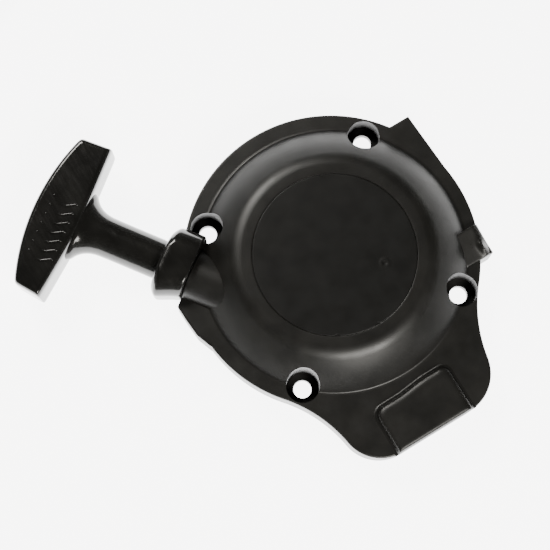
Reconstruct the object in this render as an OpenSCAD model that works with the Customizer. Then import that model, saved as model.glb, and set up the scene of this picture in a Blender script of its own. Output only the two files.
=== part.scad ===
// Recoil starter for a small engine, with a T-grip on a pull rope.
// The origin is on the crankshaft axis in the mounting plane, where the housing's rim meets the engine.
// +Z points away from the engine, +Y up the engine. The open side faces -Z.

/* [Housing] */
// Outer radius of the round flange
flange_r = 62.7; // [62:0.1:63.5]
// Height of the flange's top face above the mounting plane
flange_z = 15; // [13.5:0.5:16]
// Wall thickness of the moulding
wall = 2.4; // [2:0.1:2.8]
// Radius where the dome rises from the flange
dome_foot_r = 56.5; // [55:0.5:58]
// Radius of the dome's shoulder
shoulder_r = 41.5; // [40:0.5:44]
// Height of the dome's crown above the mounting plane
crown_z = 27; // [26:0.5:30]
// Radius of the face disc in the crown
disc_r = 34.2; // [30:0.2:36]
// Thickness of the face disc
disc_t = 0.5; // [0.3:0.1:0.8]

/* [Mounting screws] */
// Diameter of the circle the four holes lie on
screw_pcd = 110; // [106:0.5:112]
// Radius of each through hole
screw_hole_r = 3.8; // [3.3:0.1:4.2]
// Radius of the pocket for each screw head
screw_pocket_r = 6.9; // [6.4:0.1:7]
// Thickness of the seat under each screw head
screw_seat_t = 4; // [3:0.5:6]

/* [Tab] */
// Distance from the axis to the tab's straight front edge
tab_front = 84.2; // [80:0.2:88]
// Half the length of that straight edge
tab_half_w = 16.5; // [15:0.5:20]
// Radius of the tab's two outer corners
tab_corner_r = 18; // [14:0.5:20]
// Radius of the hollow curves that run from the tab into the flange
tab_blend_r = 60; // [45:1:70]
// Height of the raised pad above the flange
pad_h = 3; // [2:0.5:4]

/* [Rope outlet] */
// Direction of the pull, measured from +X
pull_angle = 125.7; // [120:0.1:132]
// Distance from the crankshaft axis to the rope's line
rope_offset = 28.6; // [27:0.1:30]
// Height of the rope's line above the mounting plane
rope_z = 14.7; // [14.5:0.1:15]
// Radius of the rope
rope_r = 1.6; // [1.4:0.1:1.6]
// Radius of the housing's round outlet
outlet_r = 12.3; // [12:0.1:12.6]
// How far the outlet's own axis lies below the rope's line
outlet_drop = 4.5; // [4:0.1:5]
// Distance along the pull from the axis to the outlet's end face
outlet_end = 52.4; // [52:0.1:53]
// Width of the rope guide collar across the pull
collar_w = 31; // [29:0.5:32]
// Height of the rope guide collar
collar_h = 25; // [24:0.5:26]
// Length of the collar along the pull
collar_len = 13.6; // [13:0.1:15]

/* [Grip] */
// Radius of the grip's stem
stem_r = 8.6; // [8:0.1:8.8]
// Distance along the pull from the axis to the bar's middle, on its outer side
bar_end = 124.1; // [122:0.1:128]
// Depth of the bar along the pull, at its middle
bar_depth = 21.9; // [20:0.1:24]
// Half the length of the bar, where it is longest
bar_half = 36; // [34:0.5:38]
// Radius of the bar's curved outer side
bar_curve_r = 95; // [90:1:110]
// Height of the bar
bar_h = 20; // [18:0.5:22]

/* [Reel] */
// Radius of the centre post that the reel turns on
post_r = 6.5; // [6:0.1:6.8]
// Radial play of each part that turns on the post
play = 0.05; // [0.03:0.01:0.08]
// Radius of the reel's two flanges
reel_r = 35; // [34:0.5:37]
// Radius of the reel's core, under the rope
core_r = 24.1; // [24.1:0.1:24.3]
// Width of the rope groove
groove_w = 6.6; // [6.5:0.1:6.8]
// Thickness of each reel flange
reel_flange_t = 1.6; // [1.4:0.1:1.7]

/* [Pawls] */
// Radius of the circle that the pawl pins stand on
pawl_circle_r = 19.5; // [19:0.5:20]
// Radius of each pawl pin
pawl_pin_r = 2; // [1.8:0.1:2.2]
// Thickness of each pawl
pawl_t = 3; // [2.6:0.1:3.1]
// How far the ratchet guide turns against the reel to throw the pawls out
guide_throw = 24; // [20:1:26]
// Turn of each pawl for one degree of the guide's turn
pawl_gain = 1.25; // [1.1:0.05:1.3]

/* [Hidden] */
$fn = 96;

black = [0.05, 0.05, 0.05];
gloss_black = [0.03, 0.03, 0.03];
disc_black = [0.07, 0.07, 0.07];
steel = [0.6, 0.61, 0.63];
spring_steel = [0.35, 0.37, 0.42];
brass = [0.78, 0.62, 0.3];
nylon = [0.85, 0.84, 0.78];
rope_grey = [0.78, 0.78, 0.76];

gap = 0.3;
skin = 0.01;
screw_circle_r = screw_pcd / 2;
screw_angles = [45, 135, 225, 315];
inner_top = crown_z - disc_t - wall + 0.3;
// Middle of the rim's round part, just above the crankshaft axis
rim_c = [-0.4, 0.8];

tab_lean = 0.02;
// Square corner that stands out of the round flange, upper right
ear = [60.2, 36.9];
// Low box-shaped hood on the right of the flange: its corners nearest and farthest from the origin
hood_near = [45.8, -18.2];
hood_far = [59.2, -32.2];
hood_top = 18.6;
// Raised pad on the tab: its middle, half its width at the top, and its edge nearest the axis
pad_x = -1.6;
pad_half_w = 16.7;
pad_edge = 63.4;

// Collar's round spigot in the outlet, and the seat that the grip's stem rests in
spigot_r = 6.6;
spigot_len = 11;
seat_depth = 5.6;
stem_start = outlet_end + collar_len - 4;

// Heights, from the engine side outwards
post_end = 4.4;
head_z = 0.7;
washer_z = 3.4;
guide_z = 5;
guide_t = 1.4;
groove_z = rope_z - groove_w / 2;
reel_z = groove_z - reel_flange_t;
reel_top = groove_z + groove_w + reel_flange_t;
pawl_z = reel_z - 0.2 - pawl_t;
hub_top = inner_top - 1.7;
hub_r = 9.3;
bush_r = 7.8;
case_r = 20.2;
case_t = 0.8;
case_z = 14.4;
recess_r = case_r + 0.7;
recess_z = 13.6;

// Rope layers: the outer one runs off along the rope's line
outer_layer_r = rope_offset;
inner_layer_r = rope_offset - rope_r * sqrt(3);

// Pawl shape in its own frame: pin at the origin, the tip ahead along +X
pawl_len = 15.5;
peg_at = [9.5, 1.2];
peg_r = 1.3;
coil_r = 2.6;
coil_h = 1.1;
pawl_angles = [90, 270];

function arc(c, r, a0, a1, n = 16) =
    [for (i = [0:n]) c + r * [cos(a0 + (a1 - a0) * i / n), sin(a0 + (a1 - a0) * i / n)]];
function heading(v) = atan2(v.y, v.x);
function turned(p, a) = [p.x * cos(a) - p.y * sin(a), p.x * sin(a) + p.y * cos(a)];
// Where a circle of radius r1 about the origin meets one of radius r2 about c, on the side away from the tab
function meet(r1, c, r2) =
    let (d = norm(c))
    let (a = (r1 * r1 - r2 * r2 + d * d) / (2 * d))
    let (h = sqrt(r1 * r1 - a * a))
    c * a / d + h * [-c.y, c.x] / d;

corner_c = [tab_half_w, tab_corner_r - tab_front];
blend_c = meet(flange_r + tab_blend_r, corner_c, tab_corner_r + tab_blend_r);
// Right half of the tab's edge, from the flange down to the front, moved inwards by inset
// Its first point lies just inside the flange, so that the two outlines cross
function tab_edge(inset) = concat(
    [0.97 * (flange_r - inset) * blend_c / norm(blend_c)],
    arc(blend_c, tab_blend_r + inset, heading(-blend_c) + 2.5, heading(corner_c - blend_c), 12),
    arc(corner_c, tab_corner_r - inset, heading(blend_c - corner_c), -90, 12)
);
function mirrored(points) = [for (i = [len(points) - 1:-1:0]) [-points[i].x, points[i].y]];
// The tab leans a little to the left, more so towards its front
function lean(points) = [for (p = points) [p.x + tab_lean * min(p.y + 40, 0), p.y]];

// Everything that lies along the rope's line is drawn in this frame: +X is the pull
module along_pull() {
    rotate([0, 0, pull_angle]) translate([0, rope_offset, rope_z]) children();
}

module tube_x(r, x0, x1) {
    translate([x0, 0, 0]) rotate([0, 90, 0]) cylinder(r = r, h = x1 - x0);
}

// The rim's outline, moved inwards by inset
module outline(inset = 0) {
    translate(rim_c) {
        circle(r = flange_r - inset, $fn = 180);
        polygon(lean(concat([[0, 0]], tab_edge(inset), mirrored(tab_edge(inset)))));
    }
    polygon([[0, 0], [flange_r - 0.5 - inset, 0], ear - [inset, inset], [40, ear.y - inset]]);
    translate([hood_near.x, hood_far.y + inset])
        square([hood_far.x - inset - hood_near.x, hood_near.y - hood_far.y - 2 * inset]);
    rotate(pull_angle) translate([0, rope_offset])
        polygon([[0, 20], [33 - inset, 25.4 - inset], [40 - inset, 23.4 - inset], [46 - inset, 19.8 - inset],
                 [outlet_end - inset, 15.5 - inset], [outlet_end - inset, -11], [0, -11]]);
}

// Half section of the dome; the inner face is the same curve moved in by t
function dome_profile(t) = concat(
    [[0, -1], [dome_foot_r - t * 0.6, -1], [dome_foot_r - t * 0.6, flange_z - t]],
    [[dome_foot_r - t * 0.9, flange_z + 0.4 - t * 0.9]],
    arc([dome_foot_r - 50.9, crown_z - 61.27], 70.7 - t, 45, 57, 6),
    arc([shoulder_r - 3.8, crown_z - 11.3], 11.3 - t, 58, 88, 6),
    [[disc_r + 0.8, crown_z - t], [0, crown_z - t]]
);

module dome(t) {
    rotate_extrude($fn = 180) polygon(dome_profile(t));
}

// Raised pad with sloping sides, on the tab
module pad(t = 0) {
    slope = 2.4;
    hull() {
        translate([pad_x - pad_half_w - slope + t, -tab_front + t, flange_z - t - 0.5])
            cube([2 * (pad_half_w + slope - t), tab_front - pad_edge + slope - 2 * t, 0.5]);
        translate([pad_x - pad_half_w + t, -tab_front + 1.2 + t, flange_z + pad_h - t - 0.1])
            cube([2 * (pad_half_w - t), tab_front - pad_edge - 1.2 - 2 * t, 0.1]);
    }
}

// Low hood whose top slopes down towards the tab
module hood(t = 0) {
    translate([hood_far.x - t, 0, 0]) rotate([90, 0, -90])
        linear_extrude(hood_far.x - hood_near.x - t)
            polygon([[-hood_near.y + t, 1], [-hood_far.y - t, 1],
                     [-hood_far.y - t, flange_z + 0.2 - t], [-hood_near.y + t, hood_top - t]]);
}

// Round-topped outlet, from x0 along the pull to its end face
module outlet(x0) {
    intersection() {
        along_pull() translate([0, 0, -outlet_drop]) tube_x(outlet_r, x0, outlet_end);
        translate([-100, -20, 0]) cube([100, 100, 40]);
    }
}

module at_screws() {
    for (a = screw_angles) rotate(a) translate([screw_circle_r, 0, 0]) children();
}

// Stiffening ribs under the flange and the dome's foot
module ribs() {
    for (a = [0:22.5:337.5]) rotate(a) translate([47, -0.9, 11.5]) cube([15, 1.8, 12]);
}

// Space that the collar takes out of the flange
module collar_space() {
    along_pull() collar_block(0.02, 30);
}

// Rounded block of the collar, with a flat on the side of the nearest screw
module collar_block(extra = 0, run_on = 0) {
    w = collar_w / 2 + extra;
    h = collar_h / 2 + extra;
    r = 9;
    length = collar_len + run_on;
    intersection() {
        translate([outlet_end, 0, 0]) rotate([90, 0, 90]) linear_extrude(length) {
            square([2 * w, 2 * (h - r)], center = true);
            square([2 * (w - r), 2 * h], center = true);
            for (x = [-1, 1], y = [-1, 1]) translate([x * (w - r), y * (h - r)]) circle(r = r, $fn = 64);
        }
        translate([outlet_end - 1, 0, -collar_h]) linear_extrude(2 * collar_h)
            polygon([[0, w + 1], [length + 2, w + 1], [length + 2, -w - 1], [11, -w],
                     [1, -w + 4.2], [0, -w + 4.6]]);
    }
}

module housing() {
    color(black) difference() {
        union() {
            difference() {
                union() {
                    linear_extrude(flange_z) outline();
                    dome(0);
                    intersection() {
                        pad();
                        linear_extrude(40) outline();
                    }
                    hood();
                    outlet(20);
                }
                dome(wall);
                translate([0, 0, -1]) linear_extrude(flange_z - wall + 1) outline(wall);
                pad(wall);
            }
            intersection() {
                union() {
                    at_screws() cylinder(r = screw_pocket_r + 2.2, h = flange_z + 6);
                    ribs();
                }
                union() {
                    linear_extrude(flange_z) outline();
                    dome(0);
                }
            }
            intersection() {
                outlet(37);
                translate([-80, 0, 3]) cube([80, 80, 30]);
            }
            translate([0, 0, post_end]) cylinder(r = post_r, h = inner_top - post_end + 0.5);
        }
        at_screws() {
            translate([0, 0, -1]) cylinder(r = screw_hole_r, h = screw_seat_t + 2);
            translate([0, 0, screw_seat_t]) cylinder(r = screw_pocket_r, h = 30);
        }
        translate([0, 0, crown_z - disc_t]) cylinder(r = disc_r + 0.1, h = 5);
        translate([0, 0, post_end - 1]) cylinder(r = 3.6, h = 13);
        along_pull() tube_x(spigot_r, 30, outlet_end + 1);
        collar_space();
    }
}

module face_disc() {
    color(disc_black) translate([0, 0, crown_z - disc_t + skin]) cylinder(r = disc_r, h = disc_t - skin);
}

module rope_guide_collar() {
    color(gloss_black) along_pull() difference() {
        union() {
            intersection() {
                collar_block();
                translate([outlet_end, 0, 0]) rotate([0, 90, 0]) rotate_extrude()
                    polygon([[0, 0], [20, 0], [20, collar_len - 5.5], [15.2, collar_len - 2.4],
                             [12.6, collar_len - 0.5], [11.2, collar_len], [0, collar_len]]);
            }
            tube_x(spigot_r - 0.02, outlet_end - spigot_len, outlet_end + 1);
        }
        tube_x(5 + skin, outlet_end - spigot_len - 1, outlet_end + collar_len);
        translate([outlet_end + collar_len - seat_depth, 0, 0]) rotate([0, 90, 0])
            cylinder(r1 = stem_r + 0.5, r2 = stem_r + 1.6, h = seat_depth + 0.1);
    }
}

// Polished ring that the rope rubs on, with a bell mouth at each end
module rope_eyelet() {
    barrel = collar_len + spigot_len - seat_depth;
    length = barrel + 1.2;
    lip_r = 1.6;
    color(steel) along_pull() translate([outlet_end - spigot_len, 0, 0]) rotate([0, 90, 0]) rotate_extrude()
        polygon(concat(
            arc([4.6, lip_r], lip_r, 270, 180, 6),
            arc([4.6, length - lip_r], lip_r, 180, 90, 6),
            [[8, length], [8, barrel + skin], [5, barrel + skin], [5, 0]]
        ));
}

module post_insert() {
    color(brass) difference() {
        translate([0, 0, post_end + skin]) cylinder(r = 3.59, h = 11.8);
        translate([0, 0, post_end - 1]) cylinder(r = 2.5, h = 14);
    }
}

module spring_case() {
    color(steel) difference() {
        translate([0, 0, case_z]) cylinder(r = case_r, h = inner_top - case_z - skin);
        translate([0, 0, case_z - 1]) cylinder(r = case_r - case_t, h = inner_top - case_z + 1 - case_t);
        cylinder(r = post_r + 1.5, h = 40);
    }
}

module spring_cover() {
    color(steel) difference() {
        translate([0, 0, case_z]) cylinder(r = case_r - case_t - 0.02, h = 0.6);
        translate([0, 0, case_z - 1]) cylinder(r = hub_r + 0.6, h = 3);
    }
}

// Flat strip wound in a spiral from the reel's hub out to the case
module recoil_spring() {
    turns = 7;
    steps = 18;
    t = 0.5;
    r_in = hub_r + 0.4;
    r_out = case_r - case_t - t - 0.2;
    function at(i, side) =
        let (f = i / (turns * steps))
        let (r = r_in + (r_out - r_in) * f + side * t)
        r * [cos(i * 360 / steps), sin(i * 360 / steps)];
    color(spring_steel) translate([0, 0, case_z + 1]) linear_extrude(inner_top - case_z - 2.4)
        polygon(concat([for (i = [0:turns * steps]) at(i, 0)],
                       [for (i = [turns * steps:-1:0]) at(i, 1)]));
}

module reel() {
    color(nylon) difference() {
        union() {
            translate([0, 0, reel_z]) cylinder(r = reel_r, h = reel_flange_t);
            translate([0, 0, reel_z]) cylinder(r = core_r, h = reel_top - reel_z);
            translate([0, 0, groove_z + groove_w]) cylinder(r = reel_r, h = reel_flange_t);
        }
        difference() {
            translate([0, 0, recess_z]) cylinder(r = recess_r, h = 20);
            translate([0, 0, recess_z - 1]) cylinder(r = hub_r, h = 20);
        }
        translate([0, 0, reel_z - 1]) cylinder(r = bush_r, h = 30);
        for (a = pawl_angles) rotate(a) translate([pawl_circle_r, 0, reel_z - 1])
            cylinder(r = pawl_pin_r, h = 4.5);
        // Pocket for the knot at the rope's inner end, and the rope's way into it
        rotate(200) translate([28, 0, reel_z - 1]) cylinder(r = 3.4, h = 1 + reel_flange_t + skin);
        for (a = [25, 70, 115, 155, 245, 290, 335]) rotate(a) translate([29.5, 0, reel_z - 1])
            cylinder(r = 2.6, h = 30);
    }
    color(nylon) difference() {
        translate([0, 0, reel_top - skin]) cylinder(r = hub_r, h = hub_top - reel_top + skin);
        translate([0, 0, reel_top - 1]) cylinder(r = bush_r, h = 10);
    }
}

module reel_bush() {
    color(brass) difference() {
        translate([0, 0, reel_z]) cylinder(r = bush_r - skin, h = hub_top - reel_z);
        translate([0, 0, reel_z - 1]) cylinder(r = post_r + play, h = 30);
    }
}

// Two layers of two turns
module rope_coils() {
    color(rope_grey) translate([0, 0, rope_z]) rotate_extrude() {
        for (z = [-rope_r, rope_r]) {
            translate([outer_layer_r, z]) circle(r = rope_r, $fn = 24);
            translate([inner_layer_r, z]) circle(r = rope_r, $fn = 24);
        }
    }
}

module reel_knot() {
    color(rope_grey) rotate(200) translate([28, 0, reel_z - 1.1]) cylinder(r = 3, h = 2.2);
}

module at_pawl(i) {
    rotate(pawl_angles[i]) translate([pawl_circle_r, 0, 0]) rotate(-90) children();
}

module pawl_pin(i) {
    color(steel) at_pawl(i) translate([0, 0, pawl_z + 0.05])
        cylinder(r = pawl_pin_r - skin, h = reel_z + 3.4 - pawl_z);
}

module pawl_pin_a() {
    pawl_pin(0);
}

module pawl_pin_b() {
    pawl_pin(1);
}

// Hooked dog that turns on its pin, with a peg for the guide's slot
module pawl(i) {
    color(steel) at_pawl(i) {
        difference() {
            translate([0, 0, pawl_z]) linear_extrude(pawl_t) {
                circle(r = 4.2);
                polygon([[0, -4.2], [pawl_len - 2, -1.6], [pawl_len, 3.2], [pawl_len - 3.5, 4],
                         [6, 3], [0, 4.2]]);
            }
            translate([0, 0, pawl_z - 1]) cylinder(r = pawl_pin_r + play, h = pawl_t + 2);
            translate([0, 0, pawl_z - 1]) cylinder(r = coil_r + 0.5, h = 1 + coil_h + 0.1);
            translate([-0.7, -6, pawl_z - 1]) cube([1.4, 6, 1 + coil_h + 0.1]);
        }
        translate([peg_at.x, peg_at.y, guide_z + 0.2]) cylinder(r = peg_r, h = pawl_z - guide_z - 0.1);
    }
}

module pawl_a() {
    pawl(0);
}

module pawl_b() {
    pawl(1);
}

// Coil around the pin, in a recess of the pawl, with a leg that reaches for the reel's hub
module pawl_spring(i) {
    color(spring_steel) at_pawl(i) translate([0, 0, pawl_z + 0.05]) {
        difference() {
            cylinder(r = coil_r + 0.3, h = coil_h);
            translate([0, 0, -1]) cylinder(r = coil_r - 0.3, h = coil_h + 2);
        }
        translate([-0.25, -coil_r - 4, 0.2]) cube([0.5, 4, 0.5]);
    }
}

module pawl_spring_a() {
    pawl_spring(0);
}

module pawl_spring_b() {
    pawl_spring(1);
}

// Where a pawl's peg stands in the guide, once the guide has turned by a
function peg_in_guide(i, a) =
    let (peg = turned(peg_at, pawl_gain * a))
    let (reel_point = turned([pawl_circle_r, 0] + turned(peg, -90), pawl_angles[i]))
    turned(reel_point, -a);

// Outline of a curved slot, a half circle at each end and a parallel side on each hand
module slot(i) {
    steps = 6;
    r = peg_r + gap;
    function at(k) = peg_in_guide(i, guide_throw * k / steps);
    function way(k) = heading(at(min(k + 1, steps)) - at(max(k - 1, 0)));
    function side(k, hand) = at(k) + hand * r * [-sin(way(k)), cos(way(k))];
    polygon(concat(
        [for (k = [1:steps - 1]) side(k, -1)],
        arc(at(steps), r, way(steps) - 90, way(steps) + 90, 8),
        [for (k = [steps - 1:-1:1]) side(k, 1)],
        arc(at(0), r, way(0) + 90, way(0) + 270, 8)
    ));
}

// Plate on the post whose curved slots throw the pawls out
module ratchet_guide() {
    color(black) translate([0, 0, guide_z]) linear_extrude(guide_t) difference() {
        union() {
            circle(r = 12);
            for (i = [0, 1]) rotate(pawl_angles[i] - 33) {
                translate([8, -7.5]) square([13.5, 15]);
                translate([21.5, 0]) circle(r = 8.5);
            }
        }
        circle(r = post_r + play);
        for (i = [0, 1]) slot(i);
    }
}

// Wave washer that drags on the guide
module friction_spring() {
    color(spring_steel) difference() {
        translate([0, 0, post_end]) cylinder(r = 9.2, h = guide_z - post_end - 0.05);
        translate([0, 0, post_end - 1]) cylinder(r = post_r + 0.6, h = 3);
    }
}

module screw_washer() {
    color(steel) difference() {
        translate([0, 0, washer_z]) cylinder(r = 9.6, h = post_end - washer_z - skin);
        translate([0, 0, washer_z - 1]) cylinder(r = 2.7, h = 3);
    }
}

module centre_screw() {
    color(steel) {
        translate([0, 0, head_z]) difference() {
            cylinder(r = 5.2, h = washer_z - head_z - skin);
            translate([0, 0, -1]) cylinder(r = 2.4, h = 2.4, $fn = 6);
        }
        translate([0, 0, head_z + 1.5]) cylinder(r = 2.45, h = 13);
    }
}

module rope_lead() {
    color(rope_grey) along_pull() tube_x(rope_r, 14.5, bar_end - 14.9);
}

// The bar's outline in the plane of the pull, moved inwards by inset
module bar_outline(inset = 0) {
    inner = bar_end - bar_depth;
    intersection() {
        translate([bar_end - bar_curve_r, 0]) circle(r = bar_curve_r - inset, $fn = 240);
        polygon([for (p = [[inner, 14], [inner - 2.2, bar_half], [bar_end, bar_half - 3],
                           [bar_end, 3 - bar_half], [inner - 2.2, -bar_half], [inner, -14]])
                 [p.x + (p.x < inner + 1 ? inset : 0), p.y - sign(p.y) * (abs(p.y) > 20 ? inset : 0)]]);
    }
}

// Layers that narrow towards the bar's two flat faces
module bar() {
    for (layer = [[0.44, 0], [0.72, 0.5], [0.9, 1.1], [1, 1.9]])
        translate([0, 0, -layer[0] * bar_h / 2]) linear_extrude(layer[0] * bar_h) bar_outline(layer[1]);
}

module handle_grip() {
    root = bar_end - bar_depth - stem_start;
    color(gloss_black) along_pull() difference() {
        union() {
            bar();
            intersection() {
                translate([stem_start, 0, 0]) rotate([0, 90, 0]) rotate_extrude()
                    polygon(concat([[0, 0], [7.2, 0], [stem_r, 1.2]],
                                   arc([stem_r + 9.5, root - 7.4], 9.5, 180, 124, 6), [[0, root + 6]]));
                translate([stem_start, -20, -bar_h * 0.44]) cube([60, 40, bar_h * 0.88]);
            }
        }
        tube_x(2.3, stem_start - 1, bar_end);
        tube_x(7, bar_end - 16, bar_end + 5);
    }
}

module knot_washer() {
    color(steel) along_pull() difference() {
        tube_x(6.5, bar_end - 16 + skin, bar_end - 14.8);
        tube_x(1.9, bar_end - 17, bar_end - 14);
    }
}

module handle_knot() {
    color(rope_grey) along_pull() {
        translate([bar_end - 10.6, 0, 0]) sphere(r = 4.1, $fn = 32);
        tube_x(1.5, bar_end - 8, bar_end - 4);
    }
}

housing();
face_disc();
rope_guide_collar();
rope_eyelet();
post_insert();
spring_case();
spring_cover();
recoil_spring();
reel();
reel_bush();
rope_coils();
reel_knot();
pawl_pin_a();
pawl_pin_b();
pawl_a();
pawl_b();
pawl_spring_a();
pawl_spring_b();
ratchet_guide();
friction_spring();
screw_washer();
centre_screw();
rope_lead();
handle_grip();
knot_washer();
handle_knot();
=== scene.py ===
"""Looks of a recoil starter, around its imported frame: housing, face disc, rope guide collar, T-grip and rope.

Lengths inside the shape functions are millimetres. Meshes are in metres, in the frame's own axes.
"""
import math

import bpy
import numpy as np
from bpy.props import FloatProperty, FloatVectorProperty, IntProperty, PointerProperty
from bpy.types import Operator, Panel, PropertyGroup
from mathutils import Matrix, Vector


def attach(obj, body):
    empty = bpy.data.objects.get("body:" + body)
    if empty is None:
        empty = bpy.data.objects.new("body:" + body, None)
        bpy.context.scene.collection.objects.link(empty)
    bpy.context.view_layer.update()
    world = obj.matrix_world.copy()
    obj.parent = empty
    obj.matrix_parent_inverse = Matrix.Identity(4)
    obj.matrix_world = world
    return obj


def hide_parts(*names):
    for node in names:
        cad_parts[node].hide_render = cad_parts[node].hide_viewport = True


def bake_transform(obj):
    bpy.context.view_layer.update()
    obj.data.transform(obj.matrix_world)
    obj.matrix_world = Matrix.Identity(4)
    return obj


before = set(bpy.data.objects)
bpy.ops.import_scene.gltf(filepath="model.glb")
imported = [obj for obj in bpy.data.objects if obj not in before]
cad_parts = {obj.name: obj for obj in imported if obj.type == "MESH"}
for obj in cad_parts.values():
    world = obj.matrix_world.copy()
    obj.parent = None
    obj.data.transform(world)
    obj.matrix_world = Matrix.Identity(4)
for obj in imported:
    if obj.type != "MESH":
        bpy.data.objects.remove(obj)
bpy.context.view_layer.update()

bl_info = {
    "name": "Recoil Starter",
    "version": (1, 0, 0),
    "blender": (4, 5, 0),
    "location": "3D View > Sidebar > Starter",
    "description": "Builds the visible skins and finishes of a recoil starter around its packed frame",
    "category": "Object",
}

MM = 0.001

# Housing, measured from the crankshaft axis and the mounting plane
FLANGE_R, FLANGE_Z, WALL = 62.7, 15.0, 2.4
RIM_CENTRE = np.array([-0.4, 0.8])
FOOT_R, SHOULDER_R, CROWN_Z = 56.5, 41.5, 27.0
DISC_R, DISC_T, GATE = 34.2, 0.5, (15.7, -13.9)
SCREW_CIRCLE, SCREW_HOLE, SCREW_POCKET, SCREW_SEAT = 55.0, 3.8, 6.9, 4.0
SCREW_BEARINGS = (45, 135, 225, 315)
TAB_FRONT, TAB_HALF, TAB_CORNER, TAB_BLEND, TAB_LEAN = 84.2, 16.5, 18.0, 60.0, 0.02
EAR = np.array([60.2, 36.9])
HOOD_NEAR, HOOD_FAR, HOOD_TOP = (45.8, -18.2), (59.2, -32.2), 18.6
PAD_X, PAD_HALF, PAD_EDGE, PAD_H, PAD_SLOPE = -1.6, 16.7, -63.4, 3.0, 2.4
POST_R, POST_END, POST_TOP, INSERT_R = 6.5, 4.4, 24.9, 3.6

# The rope's line: x along the pull, y across it, z up from the rope
PULL, ROPE_OFFSET, ROPE_Z, ROPE_R = math.radians(125.7), 28.6, 14.7, 1.6
OUTLET_R, OUTLET_DROP, OUTLET_END, SPIGOT_R, SPIGOT_LEN = 12.3, 4.5, 52.4, 6.6, 11.0
COLLAR_HALF, COLLAR_LEN, COLLAR_H, SEAT_DEPTH = 15.5, 13.6, 12.5, 5.6
STEM_R, BAR_END, BAR_MIDDLE, BAR_CURVE, BAR_H = 8.6, 124.1, 110.0, 95.0, 10.0
STEM_START = OUTLET_END + COLLAR_LEN - 4
PULL_TRAVEL = 620.0
LEAD_START, LEAD_END = 6.0, BAR_END - 14.9
WOUND_LENGTH, BRAID_PITCH = 684.0, 9.0

# From the reel's axis: the pawls' pins, and where a pawl spring's leg leaves the pawl and meets the hub
PAWL_PIN_AT, LEG_AT_PAWL, LEG_AT_HUB = 19.5, 15.2, 13.1

# The stage, in metres and degrees: what camera and lights face, each light's bearing, elevation, width and
# height, and where the floor's glow starts and stops fading, with the share of it that is left
LOOK_AT, LIGHT_DISTANCE = (-0.0244, 0.0073, 0.014), 1.1
LIGHTS = {"key": (182, 49, 0.33, 0.33), "fill": (-6, 44, 0.45, 0.38)}
FLOOR_FADE, FLOOR_FAR_SHARE = (0.18, 0.3), 0.07


# ---------------------------------------------------------------- curves and grids

def arc(centre, radius, start, stop, steps=12):
    """Points centre + radius (cos a, sin a), with a running from start to stop in degrees."""
    a = np.radians(np.linspace(start, stop, steps + 1))
    return np.asarray(centre) + radius * np.stack([np.cos(a), np.sin(a)], -1)


def soften(points, passes=3):
    """Cuts every corner at a quarter and three quarters of its sides, which tends to a quadratic B-spline."""
    p = np.asarray(points, float)
    for _ in range(passes):
        a, b = p[:-1], p[1:]
        cut = np.stack([0.75 * a + 0.25 * b, 0.25 * a + 0.75 * b], 1).reshape(-1, p.shape[1])
        p = np.concatenate([p[:1], cut, p[-1:]])
    return p


def evenly(points, count):
    """Points of a closed outline at equal steps of its length."""
    p = np.concatenate([points, points[:1]])
    s = np.concatenate([[0], np.cumsum(np.linalg.norm(np.diff(p, axis=0), axis=1))])
    t = np.linspace(0, s[-1], count, endpoint=False)
    return np.stack([np.interp(t, s, p[:, k]) for k in range(p.shape[1])], -1)


def smoothstep(x):
    """3x^2 - 2x^3 between 0 and 1."""
    x = np.clip(x, 0, 1)
    return x * x * (3 - 2 * x)


def reach(bearings, outline):
    """Farthest t at each bearing where the ray t d meets a side a + s e, 0 <= s <= 1, of a closed outline."""
    a, e = outline, np.roll(outline, -1, 0) - outline
    d = np.stack([np.cos(bearings), np.sin(bearings)], -1)[:, None]
    across = d[..., 0] * e[:, 1] - d[..., 1] * e[:, 0]
    across = np.where(np.abs(across) < 1e-12, 1e-12, across)
    t = (a[:, 0] * e[:, 1] - a[:, 1] * e[:, 0]) / across
    s = (d[..., 1] * a[:, 0] - d[..., 0] * a[:, 1]) / across
    return np.where((s >= -1e-9) & (s <= 1 + 1e-9) & (t > 0), t, 0).max(1)


def turned(p, a):
    """Points turned by a about z: (x cos a - y sin a, x sin a + y cos a, z)."""
    x, y, z = p[..., 0], p[..., 1], p[..., 2]
    c, s = math.cos(a), math.sin(a)
    return np.stack([c * x - s * y, s * x + c * y, z], -1)


def along_pull(p):
    """Takes points drawn on the rope's line into the starter's axes: the offset, then the pull's bearing."""
    return turned(p + np.array([0, ROPE_OFFSET, ROPE_Z]), PULL)


def onto_x(p):
    """Lays a shape that stands on z along x: (x, y, z) becomes (z, x, y)."""
    return p[..., [2, 0, 1]]


# ---------------------------------------------------------------- closed skins

def loft(rings, joined=False, poles=None):
    """Closed skin over rings[i, j], step j round ring i: quads between rings and a fan to a pole at each end.

    A joined skin runs from its last ring back to its first and has no poles.
    """
    m, n = rings.shape[:2]
    i, j = np.meshgrid(np.arange(m if joined else m - 1), np.arange(n), indexing="ij")
    k, up = (j + 1) % n, (i + 1) % m
    quads = np.stack([i * n + j, i * n + k, up * n + k, up * n + j], -1).reshape(-1, 4)
    points, fans = rings.reshape(-1, 3), np.zeros((0, 3), int)
    if not joined:
        ends = poles if poles is not None else (rings[0].mean(0), rings[-1].mean(0))
        points = np.concatenate([points, np.asarray(ends, float)])
        a = np.arange(n)
        b = (a + 1) % n
        fans = np.concatenate([np.stack([np.full(n, m * n), b, a], -1),
                               np.stack([np.full(n, m * n + 1), (m - 1) * n + a, (m - 1) * n + b], -1)])
    tris = np.concatenate([quads[:, [0, 1, 2]], quads[:, [0, 2, 3]], fans])
    p, q, r = points[tris].transpose(1, 0, 2)
    if np.einsum("ij,ij->i", p, np.cross(q, r)).sum() < 0:
        quads, fans = quads[:, ::-1], fans[:, ::-1]
    return points, quads, fans


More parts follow.
